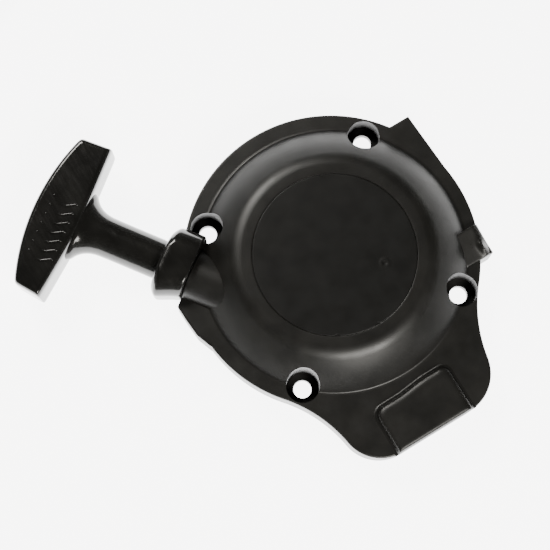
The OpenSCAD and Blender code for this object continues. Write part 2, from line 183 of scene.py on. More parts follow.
def lathe(profile, steps=96, centre=(0, 0)):
    """Turned skin: (x + r cos a, y + r sin a, z) for every point (r, z) of the profile."""
    profile = np.asarray(profile, float)
    a = np.linspace(0, 2 * np.pi, steps, endpoint=False)
    r, z = profile[:, :1], profile[:, 1:]
    rings = np.stack([centre[0] + r * np.cos(a), centre[1] + r * np.sin(a), z + 0 * a], -1)
    return loft(rings, poles=[(*centre, profile[0, 1]), (*centre, profile[-1, 1])])


def moved(shape, how):
    """The same skin with its points put through a function of points."""
    return (how(shape[0]), *shape[1:])


def sweep(path, section, up=(0, 0, 1)):
    """Carries section(i, j) = (across, above) along a path, square to its tangent."""
    path = np.asarray(path, float)
    t = np.gradient(path, axis=0)
    t /= np.linalg.norm(t, axis=1, keepdims=True)
    side = np.cross(t, np.asarray(up, float))
    side /= np.linalg.norm(side, axis=1, keepdims=True)
    top = np.cross(side, t)
    section = np.broadcast_to(section, (len(path), *np.shape(section)[-2:]))
    rings = path[:, None] + section[..., :1] * side[:, None] + section[..., 1:] * top[:, None]
    return loft(rings, poles=(path[0], path[-1]))


def together(shapes):
    """Several skins as one list of points and faces."""
    starts = np.cumsum([0] + [len(s[0]) for s in shapes[:-1]])
    return (np.concatenate([s[0] for s in shapes]),
            np.concatenate([s[1] + o for s, o in zip(shapes, starts)]),
            np.concatenate([s[2] + o for s, o in zip(shapes, starts)]))


def rounded(x0, x1, y0, y1, radii, steps=8):
    """Rectangle with a quarter arc at each corner, from the upper right one round to the lower right."""
    r = radii
    return np.concatenate([arc((x1 - r[0], y1 - r[0]), r[0], 0, 90, steps),
                           arc((x0 + r[1], y1 - r[1]), r[1], 90, 180, steps),
                           arc((x0 + r[2], y0 + r[2]), r[2], 180, 270, steps),
                           arc((x1 - r[3], y0 + r[3]), r[3], 270, 360, steps)])


def tube(radius, x0, x1, steps=64, edge=0.0):
    """Solid round bar from x0 to x1 along the rope's line, with its far edge rounded."""
    end = arc((radius - edge, x1 - edge), edge, 0, 90, 6) if edge else np.array([[radius, x1]])
    return moved(lathe(np.concatenate([[[radius, x0]], end]), steps), onto_x)


# ---------------------------------------------------------------- meshes

def place(name, shape):
    """A new object with that skin as its mesh, in metres, at the origin."""
    mesh = bpy.data.meshes.new(name)
    points, quads, fans = shape
    mesh.from_pydata((points * MM).tolist(), [], quads.tolist() + fans.tolist())
    obj = bpy.data.objects.new(name, mesh)
    bpy.context.scene.collection.objects.link(obj)
    return obj


def remove(obj):
    mesh = obj.data
    bpy.data.objects.remove(obj)
    bpy.data.meshes.remove(mesh)


def carve(name, base, steps):
    """Joins, cuts or crosses closed skins or finished objects with the base, one by one, into one mesh."""
    obj = place(name, base)
    tools = []
    for kind, shape in steps:
        tools.append(place(name + "_tool", shape) if isinstance(shape, tuple) else shape)
        step = obj.modifiers.new(kind.lower(), "BOOLEAN")
        step.operation, step.solver, step.object = kind, "MANIFOLD", tools[-1]
    made = bpy.data.meshes.new_from_object(obj.evaluated_get(bpy.context.evaluated_depsgraph_get()))
    if not len(made.polygons):
        raise RuntimeError(f"{name}: cutting left nothing")
    old = obj.data
    obj.modifiers.clear()
    obj.data = made
    made.name = name
    bpy.data.meshes.remove(old)
    for tool in tools:
        remove(tool)
    return obj


def smooth(obj, degrees=32):
    """Shades curves smooth but keeps edges sharper than the angle; big flat faces lead the normals."""
    obj.data.shade_smooth()
    obj.data.set_sharp_from_angle(angle=math.radians(degrees))
    weigh = obj.modifiers.new("weighted normals", "WEIGHTED_NORMAL")
    weigh.keep_sharp = True
    return obj


def done(obj, body, slot, material, *nodes):
    """Gives a piece its finish and its body, and hides the CAD nodes it stands for; the slot is not used."""
    obj.data.materials.clear()
    obj.data.materials.append(material)
    if body:
        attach(obj, body)
    if nodes:
        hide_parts(*nodes)
    return obj


# ---------------------------------------------------------------- finishes

class Finish:
    """A node material under construction, on Object coordinates, with constants set on the shader itself."""

    def __init__(self, name, color, roughness, metallic=0.0, **sockets):
        self.material = bpy.data.materials.new(name)
        self.material.use_nodes = True
        self.tree = self.material.node_tree
        self.shader = self.tree.nodes["Principled BSDF"]
        self.shader.inputs["Base Color"].default_value = (*color, 1)
        self.shader.inputs["Roughness"].default_value = roughness
        self.shader.inputs["Metallic"].default_value = metallic
        for socket, value in sockets.items():
            self.shader.inputs[socket.replace("_", " ")].default_value = value
        self.coords = self.add("ShaderNodeTexCoord").outputs["Object"]
        self.normal = None

    def add(self, kind, **settings):
        node = self.tree.nodes.new(kind)
        for key, value in settings.items():
            setattr(node, key, value)
        return node

    def link(self, a, b):
        self.tree.links.new(a, b)

    def stretched(self, scale):
        """Object coordinates, scaled apart along each axis."""
        mapping = self.add("ShaderNodeMapping")
        mapping.inputs["Scale"].default_value = scale
        self.link(self.coords, mapping.inputs["Vector"])
        return mapping.outputs["Vector"]

    def noise(self, size_mm, detail=3.0, roughness=0.55, vector=None):
        """Noise whose blobs are about size_mm across."""
        node = self.add("ShaderNodeTexNoise")
        node.inputs["Scale"].default_value = 1 / (size_mm * MM)
        node.inputs["Detail"].default_value = detail
        node.inputs["Roughness"].default_value = roughness
        self.link(vector or self.coords, node.inputs["Vector"])
        return node.outputs["Fac"]

    def span(self, value, low, high, source=(0.3, 0.7)):
        """The value stretched from the source's range to low and high."""
        node = self.add("ShaderNodeMapRange")
        for socket, number in zip(("From Min", "From Max", "To Min", "To Max"), (*source, low, high)):
            node.inputs[socket].default_value = number
        self.link(value, node.inputs["Value"])
        return node.outputs["Result"]

    def tones(self, factor, dark, light):
        """Colour that runs from dark to light with the factor."""
        ramp = self.add("ShaderNodeValToRGB")
        first, last = ramp.color_ramp.elements
        first.position, last.position = 0.35, 0.65
        first.color, last.color = (*dark, 1), (*light, 1)
        self.link(factor, ramp.inputs["Fac"])
        self.link(ramp.outputs["Color"], self.shader.inputs["Base Color"])

    def uneven_gloss(self, factor, low, high):
        self.link(self.span(factor, low, high), self.shader.inputs["Roughness"])

    def bump(self, height, depth_mm, strength=1.0):
        """Adds a layer of bump on top of those before it."""
        node = self.add("ShaderNodeBump")
        node.inputs["Distance"].default_value = depth_mm * MM
        node.inputs["Strength"].default_value = strength
        self.link(height, node.inputs["Height"])
        if self.normal:
            self.link(self.normal, node.inputs["Normal"])
        self.normal = node.outputs["Normal"]
        self.link(self.normal, self.shader.inputs["Normal"])


def satin_moulding(looks):
    """Satin black moulding: fine spark-eroded grain, faint flow marks and slightly uneven gloss."""
    f = Finish("satin_moulding", looks.housing_color, 0.4, Specular_IOR_Level=0.5)
    dark = [c * 0.8 for c in looks.housing_color]
    light = [c * 1.3 for c in looks.housing_color]
    f.tones(f.noise(14, 2), dark, light)
    f.uneven_gloss(f.noise(9, 4), looks.housing_roughness - 0.03, looks.housing_roughness + 0.05)
    f.bump(f.noise(0.45, 4, 0.6), 0.012)
    f.bump(f.noise(16, 2), 0.10, 0.6)
    return f.material


def matt_disc(looks):
    """Flatter black of the face disc, with a soft grain and faint blotches."""
    f = Finish("matt_disc", looks.disc_color, 0.45, Specular_IOR_Level=0.35)
    f.tones(f.noise(10, 3), [c * 0.85 for c in looks.disc_color], [c * 1.2 for c in looks.disc_color])
    f.uneven_gloss(f.noise(7, 5, 0.6), 0.4, 0.5)
    f.bump(f.noise(0.3, 4, 0.6), 0.01)
    return f.material


def gloss_moulding(looks):
    """Polished black nylon of the grip and collar: wet gloss, slight waviness and a few fine rub marks."""
    f = Finish("gloss_moulding", looks.gloss_color, 0.14, Specular_IOR_Level=0.55)
    f.tones(f.noise(12, 2), [c * 0.8 for c in looks.gloss_color], [c * 1.3 for c in looks.gloss_color])
    rubs = f.noise(1.2, 3, 0.7, f.stretched((1, 0.12, 1)))
    f.uneven_gloss(rubs, looks.gloss_roughness - 0.03, looks.gloss_roughness + 0.07)
    f.bump(f.noise(7, 2), 0.10, 0.7)
    f.bump(f.noise(0.9, 3), 0.008, 0.5)
    return f.material


def cast_nylon(looks):
    """Natural nylon of the reel, slightly see-through, with gloss that varies in soft patches."""
    f = Finish("cast_nylon", looks.nylon_color, 0.42, Subsurface_Weight=0.15, Subsurface_Scale=0.002)
    f.tones(f.noise(9, 4), [c * 0.9 for c in looks.nylon_color], looks.nylon_color)
    f.uneven_gloss(f.noise(3, 4), 0.34, 0.5)
    f.bump(f.noise(0.5, 3), 0.01)
    return f.material


def zinc_steel(looks):
    """Bright zinc on steel: rolled grain and small dull patches."""
    f = Finish("zinc_steel", looks.steel_color, 0.32, 1.0)
    f.tones(f.noise(2.5, 5, 0.6), [c * 0.8 for c in looks.steel_color], looks.steel_color)
    f.uneven_gloss(f.noise(1.4, 5, 0.7, f.stretched((0.15, 1, 1))), 0.24, 0.42)
    f.bump(f.noise(0.35, 3), 0.006)
    return f.material


def blued_spring(looks):
    """Blued spring steel with fine drawn lines."""
    f = Finish("blued_spring", looks.spring_color, 0.36, 1.0)
    f.tones(f.noise(3, 4), [c * 0.75 for c in looks.spring_color], looks.spring_color)
    f.uneven_gloss(f.noise(0.8, 4, 0.6, f.stretched((1, 1, 0.1))), 0.28, 0.46)
    f.bump(f.noise(0.25, 3), 0.005)
    return f.material


def turned_brass(looks):
    """Turned brass with tool rings round the axis."""
    f = Finish("turned_brass", looks.brass_color, 0.3, 1.0)
    f.tones(f.noise(2, 4), [c * 0.8 for c in looks.brass_color], looks.brass_color)
    f.uneven_gloss(f.noise(0.5, 3, 0.6, f.stretched((0.2, 0.2, 1))), 0.22, 0.4)
    f.bump(f.noise(0.3, 3, 0.5, f.stretched((0.1, 0.1, 1))), 0.006)
    return f.material


def braided_cord(looks):
    """Off-white polyester braid, with fuzz and a little grime in small random patches."""
    f = Finish("braided_cord", looks.rope_color, 0.8, Sheen_Weight=0.35, Sheen_Roughness=0.5)
    f.tones(f.noise(1.1, 5, 0.65), [c * 0.62 for c in looks.rope_color], looks.rope_color)
    f.uneven_gloss(f.noise(0.6, 3), 0.7, 0.9)
    f.bump(f.noise(0.22, 4, 0.7), 0.06)
    return f.material


FINISHES = {f.__name__: f for f in (satin_moulding, matt_disc, gloss_moulding, cast_nylon, zinc_steel,
                                    blued_spring, turned_brass, braided_cord)}


def finish(name):
    """The named material, made the first time that it is wanted."""
    return bpy.data.materials.get(name) or FINISHES[name](bpy.context.scene.starter_looks)


# ---------------------------------------------------------------- housing

def tab_outline(inset):
    """The tab: hollow arcs from the flange, two round corners and a straight front, with a slight lean."""
    corner = np.array([TAB_HALF, TAB_CORNER - TAB_FRONT])
    near, far, d = FLANGE_R + TAB_BLEND, TAB_CORNER + TAB_BLEND, np.linalg.norm(corner)
    a = (near ** 2 - far ** 2 + d * d) / (2 * d)
    hollow = (corner * a + math.sqrt(near ** 2 - a * a) * np.array([-corner[1], corner[0]])) / d
    way = math.degrees(math.atan2(*(corner - hollow)[::-1]))
    back = math.degrees(math.atan2(-hollow[1], -hollow[0]))
    right = np.concatenate([[0.97 * (FLANGE_R - inset) * hollow / np.linalg.norm(hollow)],
                            arc(hollow, TAB_BLEND + inset, back + 1.5, way, 24),
                            arc(corner, TAB_CORNER - inset, way - 180, -90, 24)])
    points = np.concatenate([[[0, 0]], right, right[::-1] * [-1, 1]])
    points[:, 0] += TAB_LEAN * np.minimum(points[:, 1] + 40, 0)
    return points + RIM_CENTRE


def outlet_outline(inset):
    """The foot of the rope outlet, from the flange out to its end face."""
    p = np.array([[0, 20], [33, 25.4], [40, 23.4], [46, 19.8],
                  [OUTLET_END, 15.5], [OUTLET_END, -11], [0, -11]])
    shrink = np.array([[0, 0], [1, 1], [1, 1], [1, 1], [1, 1], [1, 0], [0, 0]]) * inset
    return along_pull(np.column_stack([p - shrink, np.zeros(len(p))]))[:, :2]


def ear_outline(inset):
    """The square ear at the upper right."""
    return np.array([[0, 0], [FLANGE_R - 0.5 - inset, 0], EAR - inset, [40, EAR[1] - inset]])


def hood_outline(inset):
    """The foot of the hood, on the right of the flange."""
    return rounded(HOOD_NEAR[0] - 2, HOOD_FAR[0] - inset, HOOD_FAR[1] + inset, HOOD_NEAR[1] - inset,
                   [0.4] * 4, 2)


CORNERS = np.array([EAR, [HOOD_FAR[0], HOOD_NEAR[1]], HOOD_FAR])
BEARINGS = np.unique(np.concatenate([np.linspace(-np.pi, np.pi, 1080, endpoint=False),
                                     np.arctan2(CORNERS[:, 1], CORNERS[:, 0])]))


def rim_ring(inset, z):
    """The rim at height z: in each bearing, the farthest reach of flange, tab, ear, hood and outlet."""
    parts = [arc(RIM_CENTRE, FLANGE_R - inset, 0, 360, 360)[:-1], tab_outline(inset), ear_outline(inset),
             hood_outline(inset), outlet_outline(inset)]
    r = np.max([reach(BEARINGS, p) for p in parts], axis=0)
    return np.stack([r * np.cos(BEARINGS), r * np.sin(BEARINGS), z + 0 * r], -1)


def rim_skin(profile):
    """The rim's outline carried up a profile of (inset, height)."""
    rings = np.stack([rim_ring(i, z) for i, z in profile])
    return loft(rings, poles=[(0, 0, profile[0][1]), (0, 0, profile[-1][1])])


def dome_curve(t):
    """Half section of the dome, moved in by t: a slightly bowed wall, a wide round shoulder and the crown."""
    wall = arc((FOOT_R - 50.9, CROWN_Z - 61.27), 70.7 - t, 45, 57, 8)
    shoulder = arc((SHOULDER_R - 3.8, CROWN_Z - 11.3), 11.3 - t, 58, 86, 12)
    return np.concatenate([wall, shoulder, [[DISC_R + 2.2, CROWN_Z - t], [DISC_R + 0.9, CROWN_Z - t]]])


def dome_skin():
    """The dome turned round the axis, with a small fillet at its foot and a shallow seat for the disc."""
    foot = [[FOOT_R + 1.7, 11], [FOOT_R + 1.7, FLANGE_Z - 0.35], [FOOT_R + 0.8, FLANGE_Z + 0.01],
            [FOOT_R - 0.25, FLANGE_Z + 0.08]]
    seat = [[DISC_R + 0.35, CROWN_Z], [DISC_R + 0.16, CROWN_Z - 0.08], [DISC_R + 0.1, CROWN_Z - 0.25],
            [DISC_R + 0.1, CROWN_Z - DISC_T]]
    curve = soften(np.concatenate([foot[1:], dome_curve(0)]), 3)
    return lathe(np.concatenate([foot[:1], curve, seat]), 288)


def dome_hollow():
    """What the dome leaves free inside, a wall's thickness in."""
    foot = [[FOOT_R - 0.6 * WALL, FLANGE_Z - WALL], [FOOT_R - 0.9 * WALL, FLANGE_Z + 0.4 - 0.9 * WALL]]
    curve = soften(np.concatenate([foot, dome_curve(WALL)]), 2)
    return lathe(np.concatenate([[[FOOT_R - 0.6 * WALL, -1]], curve]), 288)


def pad_skin(t=0.0):
    """Raised pad on the tab: rounded plan rings carried up a profile, its far edge stepped in an S.

    The plan shrinks by the profile's inset, and the front edge by less, so the front ends flush with the tab.
    """
    top = FLANGE_Z + PAD_H - t
    profile = soften([[-0.9, FLANGE_Z - 2 - t], [-0.9, FLANGE_Z - 0.05 - t], [0.3, FLANGE_Z + 0.05 - t],
                      [1.0, FLANGE_Z + 0.9 - t], [1.5, FLANGE_Z + 2.0 - t], [2.1, top - 0.42],
                      [3.3, top - 0.06], [4.6, top]], 3)
    profile = np.concatenate([profile, np.column_stack([np.linspace(5, 10.4, 8), np.full(8, top)])])
    front = RIM_CENTRE[1] - TAB_FRONT
    rings = []
    for inset, z in profile:
        i = inset + t
        half, r = PAD_HALF + PAD_SLOPE - i, max(5.2 - 0.5 * i, 0.5)
        ring = evenly(rounded(PAD_X - half, PAD_X + half, front + t + 0.62 * max(i - 0.9 - t, 0),
                              PAD_EDGE + PAD_SLOPE - 0.8 - i, [0.8 * r, r, 0.5, 0.5]), 220)
        step = 1.3 * smoothstep((ring[:, 0] + 9) / 16) * np.clip((ring[:, 1] + 76) / 10, 0, 1)
        rings.append(np.column_stack([ring[:, 0], ring[:, 1] + step, np.full(len(ring), z)]))
    return loft(np.stack(rings))


def hood_skin():
    """Low hood: plan rings under a top that slopes to the tab and rounds down outward, with a soft boss."""
    x0, x1, y0, y1 = HOOD_NEAR[0], HOOD_FAR[0], HOOD_FAR[1], HOOD_NEAR[1]
    rings = []
    edge = [(0, 9), (0, 0.75), (0.06, 0.4), (0.22, 0.14), (0.5, 0.02), (0.9, 0)]
    for inset, drop in edge + [(i, 0) for i in np.linspace(1.5, 6.2, 9)]:
        r = [min(q, 6.9 - inset) for q in (0.6 + 0.1 * inset, 0.5, 0.5, 2.0)]
        ring = evenly(rounded(x0 + inset, x1 - inset, y0 + inset, y1 - inset, r, 6), 160)
        x, y = ring.T
        top = FLANGE_Z + 0.25 + (HOOD_TOP - FLANGE_Z - 0.25) * (y - y0) / (y1 - y0)
        top = top - 1.5 * np.clip((x - x1 + 3.4) / 3.4, 0, 1) ** 2
        top = top + 1.7 * np.exp(-((x - 56.2) / 1.5) ** 2 - ((y + 28.2) / 3.0) ** 2)
        rings.append(np.column_stack([x, y, top - drop]))
    return loft(np.stack(rings))


def outlet_skin(x0, x1, low, edge):
    """Round-topped outlet under the rope's line, cut off level at the bottom."""
    p, quads, fans = tube(OUTLET_R, x0, x1, 120, edge)
    p = along_pull(p - [0, 0, OUTLET_DROP])
    p[:, 2] = np.maximum(p[:, 2], low)
    return p, quads, fans


def collar_ring(x, plus, minus, half_h, r):
    """Rounded rectangle across the rope's line at x, its two sides at different distances."""
    ring = rounded(-minus, plus, -half_h, half_h, [r] * 4, 14)
    return np.column_stack([np.full(len(ring), x), ring])


def collar_room():
    """The block of space that the collar and the grip's way out take from the housing."""
    rings = [collar_ring(x, plus, COLLAR_HALF + 0.03, COLLAR_H + 0.03, 9)
             for x, plus in ((OUTLET_END, 11.95), (61.7, COLLAR_HALF + 0.03), (90, COLLAR_HALF + 0.03))]
    return moved(loft(np.stack(rings)), along_pull)


def at_screws(profile):
    """The same turned skin at each of the four screws."""
    return together([lathe(profile, 72, (SCREW_CIRCLE * math.cos(a), SCREW_CIRCLE * math.sin(a)))
                     for a in np.radians(SCREW_BEARINGS)])


def ribs():
    """Thin ribs under the dome's foot, every 22.5 degrees, each a drafted blade with a round lower edge."""
    side = np.array([[47.2, 11.6], [61, 11.6], [61, 13.6], [56.6, 13.9], [52, 18.2], [47.2, 20.4]])
    rings = np.stack([np.column_stack([side[:, 0], np.full(6, half), side[:, 1] + rise * (side[:, 1] < 12)])
                      for half, rise in ((-0.9, 0.35), (-0.7, 0), (0.7, 0), (0.9, 0.35))])
    blade = loft(rings, poles=[(55.5, -0.9, 12.8), (55.5, 0.9, 12.8)])
    return together([moved(blade, lambda p: turned(p, a)) for a in np.radians(np.arange(0, 360, 22.5))])


def build_housing(sizes):
    """Rim, dome, pad, hood and outlet, hollowed a wall in, then given bosses, ribs, post and holes."""
    e = 1000 * sizes.rim_edge
    edge = [(e - e * math.cos(a), FLANGE_Z - e + e * math.sin(a)) for a in np.radians(np.arange(0, 91, 15))]
    outer = rim_skin([(0.3, 0), (0.08, 0.1), (0, 0.3), *edge])
    hollow = rim_skin([(WALL, -1), (WALL, 11.6), (WALL + 0.3, 12.3), (WALL + 1, FLANGE_Z - WALL)])
    post = [[POST_R - 0.3, POST_END], [POST_R, POST_END + 0.3], [POST_R, 22], [POST_R + 0.7, 23.6],
            [POST_R + 2.2, 24.4], [POST_R + 2.2, POST_TOP]]
    inside = carve("inside", at_screws([[9.1, 0.02], [9.1, 24]]), [
        ("UNION", ribs()), ("INTERSECT", carve("mass", outer, [("UNION", dome_skin())])),
        ("UNION", outlet_skin(37, OUTLET_END - 1, 3, 0)), ("UNION", lathe(post, 96))])
    pocket = [[SCREW_POCKET, SCREW_SEAT], [SCREW_POCKET + 0.15, 40]]
    hole = [[SCREW_HOLE + 0.5, -1], [SCREW_HOLE + 0.5, 0.02], [SCREW_HOLE, 0.5],
            [SCREW_HOLE, SCREW_SEAT - 0.3], [SCREW_HOLE + 0.35, SCREW_SEAT + 0.05],
            [SCREW_HOLE + 0.35, SCREW_SEAT + 2]]
    insert = lathe([[INSERT_R, POST_END - 1], [INSERT_R, 16.2], [2.6, 17.4]], 48)
    return smooth(carve("housing_shell", outer, [
        ("UNION", dome_skin()), ("UNION", pad_skin()), ("UNION", hood_skin()),
        ("UNION", outlet_skin(20, OUTLET_END, 0.02, 0.5)),
        ("DIFFERENCE", dome_hollow()), ("DIFFERENCE", hollow), ("DIFFERENCE", pad_skin(WALL)),
        ("UNION", inside),
        ("DIFFERENCE", at_screws(pocket)), ("DIFFERENCE", at_screws(hole)), ("DIFFERENCE", insert),
        ("DIFFERENCE", moved(tube(SPIGOT_R, 30, OUTLET_END + 1), along_pull)),
        ("DIFFERENCE", collar_room())]), 30)


def build_disc():
    """Face disc as rings about the axis: rounded edge with two notches, and a low, dimpled gate mark."""
    a = np.linspace(0, 2 * np.pi, 288, endpoint=False)
    notch = sum(0.9 * np.exp(-((a - math.radians(b)) * DISC_R / 0.7) ** 2) for b in (240, 270))
    low, top = CROWN_Z - DISC_T + 0.01, CROWN_Z
    profile = [(0, low), (0, top - 0.22), (0.05, top - 0.1), (0.16, top - 0.03), (0.35, top)]
    profile += [(i, top) for i in np.linspace(0.9, DISC_R - 0.4, 60)]
    rings = []
    for inset, z in profile:
        r = DISC_R - inset - notch * max(0.0, 1 - inset / 3)
        x, y = r * np.cos(a), r * np.sin(a)
        from_gate = np.hypot(x - GATE[0], y - GATE[1])
        mark = 0.16 * np.exp(-((from_gate - 1.5) / 0.55) ** 2) - 0.12 * np.exp(-(from_gate / 0.8) ** 2)
        rings.append(np.column_stack([x, y, z + mark * (z > top - 0.01)]))
    return smooth(place("face_disc_skin", loft(np.stack(rings))), 40)


def build_collar():
    """Rounded rectangles carried out on the rope's line, round the grip's seat and back down the spigot."""
    x = OUTLET_END + 0.02
    front = OUTLET_END + COLLAR_LEN
    outside = [[x, 11.3, 15.1, 11.9, 8.6], [x + 0.12, 11.7, 15.6, 12.3, 8.9], [x + 0.8, 12.1, 15.9, 12.5, 9],
               [x + 4, 13.2, 15.8, 12.5, 9], [60.8, 15.2, 15.6, 12.5, 9], [62.4, 15.75, 15.6, 12.5, 9.2],
               [63.6, 15.3, 15.2, 12.45, 9.4], [64.9, 13.9, 13.9, 12.2, 10], [65.6, 13.0, 13.0, 11.9, 10.6],
               [front, 12.0, 12.0, 11.4, 11.2], [front, 11.2, 11.2, 11.1, 11]]
    rows = [tuple(r) for r in soften(outside, 2)]
    seat = STEM_R + 0.5
    floor, back = front - SEAT_DEPTH, OUTLET_END - SPIGOT_LEN
    rows += [(p, r, r, r, r) for p, r in ((front - 0.02, 10.6), (front - 0.3, 10.3), (floor + 0.5, seat),
                                          (floor, seat - 0.4), (floor, 5.02), (back, 5.02), (back, 6.3),
                                          (back + 0.3, SPIGOT_R - 0.02), (x, SPIGOT_R - 0.02))]
    rings = np.stack([collar_ring(*row) for row in rows])
    return smooth(place("collar_skin", moved(loft(rings, joined=True), along_pull)), 30)


def bar_ring(inset, z):
    """The bar's outline about a point inside it, from the nearest of its five sides in each direction.

    The sides' distances t are blended as (sum of t^-p)^(-1/p), which rounds the corners.
    """
    a = np.linspace(0, 2 * np.pi, 360, endpoint=False)
    d, o = np.stack([np.cos(a), np.sin(a)], -1), np.array([BAR_MIDDLE, 0.0])
    sides = [((0.12, 0.9928), (101.9, 35.9)), ((0.042, -0.9991), (98.8, -34.5)),
             ((-0.9995, -0.03), (102.2, 16.0)), ((-0.9958, 0.092), (101.0, -13.0))]
    t = []
    for n, p in sides:
        n = np.array(n)
        toward = np.maximum(d @ n, 1e-6)
        t.append((n @ (np.array(p) - o) - inset) / toward)
    c = np.array([BAR_END - BAR_CURVE, 0.0]) - o
    t.append(d @ c + np.sqrt((d @ c) ** 2 - c @ c + (BAR_CURVE - inset) ** 2))
    r = (np.array(t) ** -46.0).sum(0) ** (-1 / 46.0)
    return np.column_stack([o + d * r[:, None], np.full(len(a), z)])


def build_grip(sizes):
    """Bar of rounded slices on a stem of rings that widen into it, with raised chevrons and a knot pocket."""
    h = BAR_H
    half = soften([(2.9, h), (2.0, h), (1.0, h - 0.35), (0.3, h - 1.5), (0.05, h - 3.2), (0, h - 6)], 2)
    slices = np.concatenate([[(7, h)], half])
    profile = np.concatenate([slices * [1, -1], slices[::-1]])
    bar = loft(np.stack([bar_ring(i, z) for i, z in profile]),
               poles=[(BAR_MIDDLE, 0, -h), (BAR_MIDDLE, 0, h)])
    rows = soften([(STEM_START, 6.6, 6.6), (STEM_START, 7.6, 7.6), (STEM_START + 1.1, STEM_R, STEM_R),
                   (STEM_START + 6, STEM_R, STEM_R), (90, STEM_R, STEM_R), (94.5, 8.9, 8.65), (98, 10.2, 8.8),
                   (100.6, 12.3, 9.0), (102.4, 15.2, 9.3), (106, 16.2, 9.4), (107, 16.2, 9.4)], 3)
    a = np.linspace(0, 2 * np.pi, 120, endpoint=False)
    stem = loft(np.stack([np.column_stack([np.full(len(a), x), v * np.cos(a), w * np.sin(a)])
                          for x, v, w in rows]))
    chevrons = []
    for i in range(sizes.chevrons):
        v = -6.5 + 4.2 * i
        path = soften([(106.6, v, h), (108.5, v + 1.1, h), (112.2, v + 3.2, h), (115.9, v + 1.1, h),
                       (117.8, v, h)], 3)
        s = np.linspace(-1, 1, len(path))
        b = np.linspace(0, 2 * np.pi, 14, endpoint=False)
        size = np.sqrt(np.maximum(1 - s ** 8, 0.02))[:, None, None]
        chevrons.append(sweep(path, np.stack([0.62 * np.cos(b), 0.42 * np.sin(b)], -1) * size))
    grip = carve("grip_skin", moved(bar, along_pull), [
        ("UNION", moved(stem, along_pull)), ("UNION", moved(together(chevrons), along_pull)),
        ("DIFFERENCE", moved(tube(2.3, STEM_START - 1, BAR_END), along_pull)),
        ("DIFFERENCE", moved(tube(7, BAR_END - 16, BAR_END + 5), along_pull))])
    return smooth(grip, 30)


# ---------------------------------------------------------------- rope and small pieces

def braid(radius, phase, steps=20, depth=0.1):
    """Cross-sections of a braid: a circle pressed in where strands that turn opposite ways cross."""
    a = np.linspace(0, 2 * np.pi, steps, endpoint=False)
    turn = np.asarray(phase)[:, None]
    r = radius * (1 - depth * (1 - np.abs(np.cos(2 * a + turn) * np.cos(2 * a - turn))))
    return np.stack([r * np.cos(a), r * np.sin(a)], -1)


def build_lead():
    """Straight braid on the rope's line, whose stations crowd where it stretches, so it is even pulled out.

    A point at x moves by travel * smoothstep((x - start) / (end - start)), and the phase follows the sum.
    """
    x = np.linspace(LEAD_START, LEAD_END, 4000)
    pulled = x + PULL_TRAVEL * smoothstep((x - LEAD_START - 2) / (LEAD_END - LEAD_START - 4))
    even = np.linspace(pulled[0], pulled[-1], 1300)
    path = np.column_stack([np.interp(even, pulled, x), np.zeros((len(even), 2))])
    skin = sweep(path, braid(ROPE_R, even * 2 * np.pi / BRAID_PITCH, 20))
    return smooth(place("rope_lead_skin", moved(skin, along_pull)), 60)


def build_wound():
    """Two layers of two turns on the reel: a helix out over itself, ending where the lead leaves."""
    f = np.linspace(0, 1, 1500)
    layer = smoothstep((f * WOUND_LENGTH - 318) / 16)
    r = ROPE_OFFSET - ROPE_R * math.sqrt(3) * (1 - layer)
    bearing = PULL + math.pi / 2 + 2 * np.pi * 4 * (1 - f)
    side = np.where(f < 0.475, 1 - 2 * smoothstep((f / 0.475 - 0.42) / 0.16),
                    2 * smoothstep((f - 0.68) / 0.08) - 1)
    z = ROPE_Z + (ROPE_R - 0.02) * side * (1 - smoothstep((f - 0.985) / 0.015))
    path = np.column_stack([r * np.cos(bearing), r * np.sin(bearing), z])
    phase = f * WOUND_LENGTH * 2 * np.pi / BRAID_PITCH
    return smooth(place("rope_wound", sweep(path, braid(ROPE_R - 0.04, phase, 14))), 60)


def knot(size, radius, squeeze=1.0):
    """Tight overhand knot: the trefoil (sin t + 2 sin 2t, cos t - 2 cos 2t, -sin 3t), with a braided skin."""
    t = np.linspace(0.02, 2 * np.pi - 0.02, 260)
    path = size * np.column_stack([np.sin(t) + 2 * np.sin(2 * t), np.cos(t) - 2 * np.cos(2 * t),
                                   -squeeze * np.sin(3 * t)])
    return sweep(path, braid(radius, t * 8, 14, 0.12), up=(0.31, 0.17, 0.94))


def build_handle_knot():
    """Stopper knot in the grip's pocket, with the cut end of the rope behind it."""
    end = sweep(np.column_stack([np.linspace(BAR_END - 13, BAR_END - 4.2, 40), np.zeros((40, 2))]),
                braid(1.5, np.linspace(0, 6, 40), 14))
    ball = moved(knot(0.93, 1.35), lambda p: onto_x(p) + [BAR_END - 9.6, 0, 0])
    return smooth(place("handle_knot_skin", moved(together([ball, end]), along_pull)), 60)


def build_reel_knot():
    """Small knot at the rope's inner end, in its pocket on the reel."""
    b = math.radians(200)
    middle = [28 * math.cos(b), 28 * math.sin(b), 9.75]
    return smooth(place("reel_knot_skin", moved(knot(0.58, 0.75, 0.35), lambda p: p + middle)), 60)


def build_recoil_spring():
    """Flat strip wound in a spiral whose radius grows evenly with the turn."""
    turns, inner, outer = 7, 9.95, 18.95
    a = np.linspace(0, 2 * np.pi * turns, 72 * turns)
    r = inner + (outer - inner) * a / a[-1]
    path = np.column_stack([r * np.cos(a), r * np.sin(a), np.full(len(a), 19.2)])
    strip = rounded(-0.22, 0.22, -3.75, 3.75, [0.12] * 4, 2)
    return smooth(place("recoil_spring_strip", sweep(path, strip)), 40)


